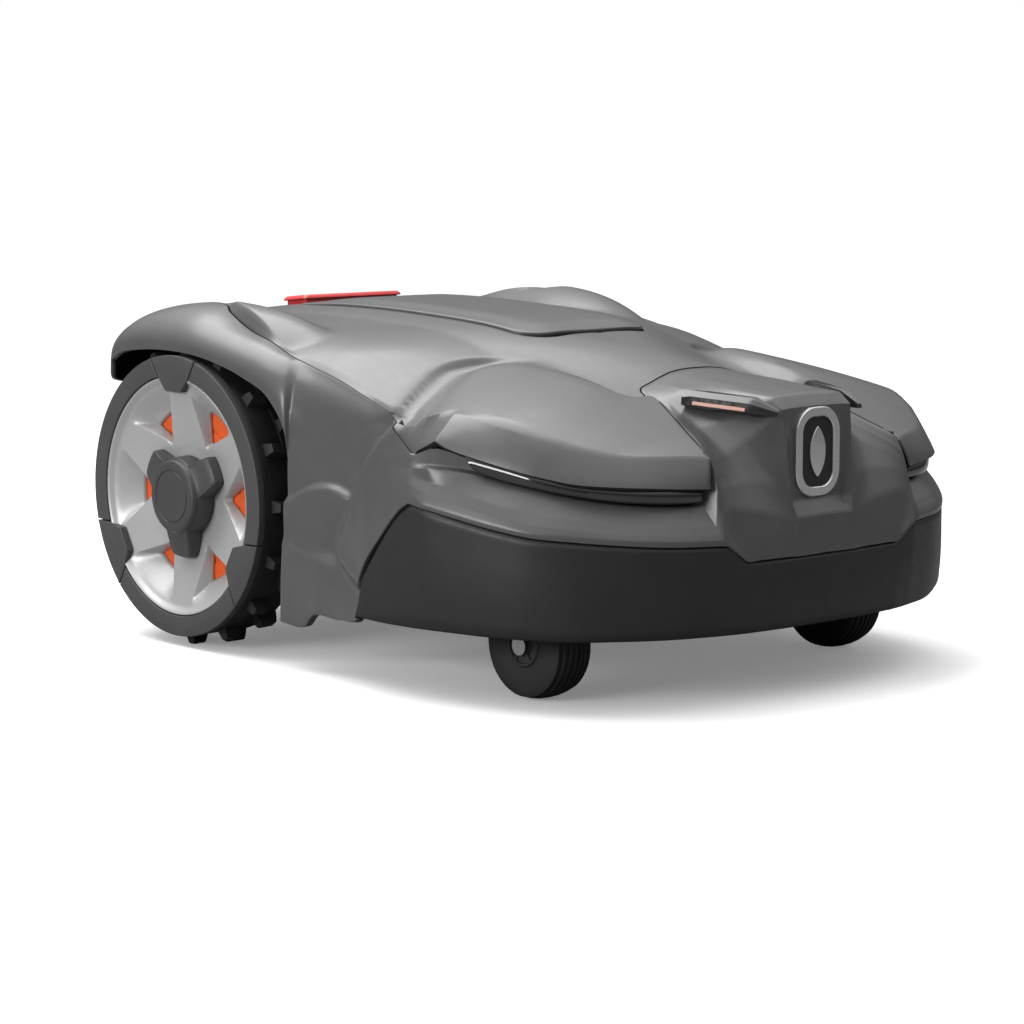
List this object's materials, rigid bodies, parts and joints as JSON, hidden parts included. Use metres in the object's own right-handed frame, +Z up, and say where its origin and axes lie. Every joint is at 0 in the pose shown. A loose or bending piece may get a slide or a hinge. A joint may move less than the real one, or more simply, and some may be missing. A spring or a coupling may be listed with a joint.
{
  "type": "robotic lawn mower",
  "caption": "Robotic lawn mower with a floating cover, spoked rear drive wheels, front casters, a hatch over its controls and a pivoting-blade cutting disc.",
  "frame": {"origin": "on the ground under the middle of the bounding box", "axes": "+Z up, -Y the driving direction, +X towards the mower's left side"},
  "size_m": [0.4492, 0.5785, 0.251],
  "materials": {
    "body_grey": "satin grey moulded plastic with a fine grain",
    "bumper_plastic": "near-black moulded plastic",
    "stop_red": "red moulded plastic",
    "badge_aluminium": "brushed",
    "chassis_plastic": "black moulded plastic",
    "black_rubber": "matte black rubber",
    "battery_case": "matte",
    "board_green": "coated board",
    "panel_plastic": "satin",
    "dark_lens": "smoked gloss",
    "amber_light": "amber light guide",
    "cap_grey": "satin dark grey",
    "silver_plastic": "silver painted plastic",
    "sidewall_grey": "dark grey plastic",
    "orange_plastic": "orange plastic",
    "steel": "machined"
  },
  "bodies": {
    "chassis": {"lower_housing": "chassis_plastic", "upper_housing": "chassis_plastic", "housing_seal": "black_rubber", "right_drive_motor": "steel", "left_drive_motor": "steel", "battery_pack": "battery_case", "battery_cover": "chassis_plastic", "circuit_board": "board_green", "control_panel": "panel_plastic", "display_window": "dark_lens", "right_charging_contact": "steel", "left_charging_contact": "steel"},
    "cover_float": {"right_front_cover_post": "black_rubber", "right_rear_cover_post": "black_rubber", "left_front_cover_post": "black_rubber", "left_rear_cover_post": "black_rubber"},
    "cover": {"body_shell": "body_grey", "top_cover": "body_grey", "bumper": "bumper_plastic", "emblem": "badge_aluminium", "right_headlight": "dark_lens", "right_indicator": "dark_lens", "right_indicator_light": "amber_light", "left_headlight": "dark_lens", "left_indicator": "dark_lens", "left_indicator_light": "amber_light"},
    "hatch": {"hatch_lid": "body_grey"},
    "stop_button": {"stop_button": "stop_red"},
    "cutting_unit": {"height_carrier": "chassis_plastic", "cutting_motor": "steel"},
    "cutting_disc": {"cutting_disc": "chassis_plastic"},
    "skid_plate": {"skid_plate": "steel"},
    "blade_1": {"blade_1": "steel"},
    "blade_2": {"blade_2": "steel"},
    "blade_3": {"blade_3": "steel"},
    "jog_dial": {"jog_dial": "cap_grey"},
    "right_wheel": {"right_drive_tyre": "black_rubber", "right_wheel_rim": "silver_plastic", "right_sidewall_ring": "sidewall_grey", "right_wheel_disc": "orange_plastic", "right_hub_cap": "cap_grey", "right_wheel_axle": "steel"},
    "right_caster": {"right_caster_fork": "chassis_plastic", "right_caster_axle": "steel"},
    "right_caster_wheel": {"right_caster_tyre": "black_rubber", "right_caster_hub": "chassis_plastic"},
    "left_wheel": {"left_drive_tyre": "black_rubber", "left_wheel_rim": "silver_plastic", "left_sidewall_ring": "sidewall_grey", "left_wheel_disc": "orange_plastic", "left_hub_cap": "cap_grey", "left_wheel_axle": "steel"},
    "left_caster": {"left_caster_fork": "chassis_plastic", "left_caster_axle": "steel"},
    "left_caster_wheel": {"left_caster_tyre": "black_rubber", "left_caster_hub": "chassis_plastic"}
  },
  "joints": [
    {"name": "cover_lift", "type": "slide", "parent": "chassis", "child": "cover_float", "axis": [0, 0, 1], "range_m": [0, 0.008]},
    {"name": "cover_shift", "type": "slide", "parent": "cover_float", "child": "cover", "axis": [0, 1, 0], "range_m": [-0.004, 0.004], "stiffness_N_per_m": 2500},
    {"name": "hatch_hinge", "type": "hinge", "parent": "cover", "child": "hatch", "pos_m": [0, 0.2056, 0.2442], "axis": [-1, 0, 0], "range_deg": [0, 75]},
    {"name": "stop_press", "type": "slide", "parent": "cover", "child": "stop_button", "axis": [0, 0, -1], "range_m": [0, 0.003], "stiffness_N_per_m": 1500},
    {"name": "cutting_height", "type": "slide", "parent": "chassis", "child": "cutting_unit", "axis": [0, 0, 1], "range_m": [0, 0.03]},
    {"name": "disc_spin", "type": "hinge", "parent": "cutting_unit", "child": "cutting_disc", "pos_m": [0, -0.022, 0.03], "axis": [0, 0, 1], "continuous": true},
    {"name": "skid_spin", "type": "hinge", "parent": "cutting_disc", "child": "skid_plate", "pos_m": [0, -0.022, 0.018], "axis": [0, 0, 1], "continuous": true},
    {"name": "dial_turn", "type": "hinge", "parent": "chassis", "child": "jog_dial", "pos_m": [0, 0.008, 0.21], "axis": [0, 0, 1], "continuous": true},
    {"name": "blade_1_pivot", "type": "hinge", "parent": "cutting_disc", "child": "blade_1", "pos_m": [0, -0.096, 0.0216], "axis": [0, 0, 1], "range_deg": [-95, 95]},
    {"name": "blade_2_pivot", "type": "hinge", "parent": "cutting_disc", "child": "blade_2", "pos_m": [0.06409, 0.015, 0.0216], "axis": [0, 0, 1], "range_deg": [-95, 95]},
    {"name": "blade_3_pivot", "type": "hinge", "parent": "cutting_disc", "child": "blade_3", "pos_m": [-0.06409, 0.015, 0.0216], "axis": [0, 0, 1], "range_deg": [-95, 95]},
    {"name": "right_wheel_spin", "type": "hinge", "parent": "chassis", "child": "right_wheel", "pos_m": [-0.215, 0.1593, 0.1112], "axis": [1, 0, 0], "continuous": true},
    {"name": "right_caster_swivel", "type": "hinge", "parent": "chassis", "child": "right_caster", "pos_m": [-0.146, -0.178, 0.09], "axis": [0, 0, 1], "continuous": true},
    {"name": "right_caster_roll", "type": "hinge", "parent": "right_caster", "child": "right_caster_wheel", "pos_m": [-0.146, -0.163, 0.0373], "axis": [1, 0, 0], "continuous": true},
    {"name": "left_wheel_spin", "type": "hinge", "parent": "chassis", "child": "left_wheel", "pos_m": [0.215, 0.1593, 0.1112], "axis": [1, 0, 0], "continuous": true},
    {"name": "left_caster_swivel", "type": "hinge", "parent": "chassis", "child": "left_caster", "pos_m": [0.146, -0.178, 0.09], "axis": [0, 0, 1], "continuous": true},
    {"name": "left_caster_roll", "type": "hinge", "parent": "left_caster", "child": "left_caster_wheel", "pos_m": [0.146, -0.163, 0.0373], "axis": [1, 0, 0], "continuous": true}
  ]
}
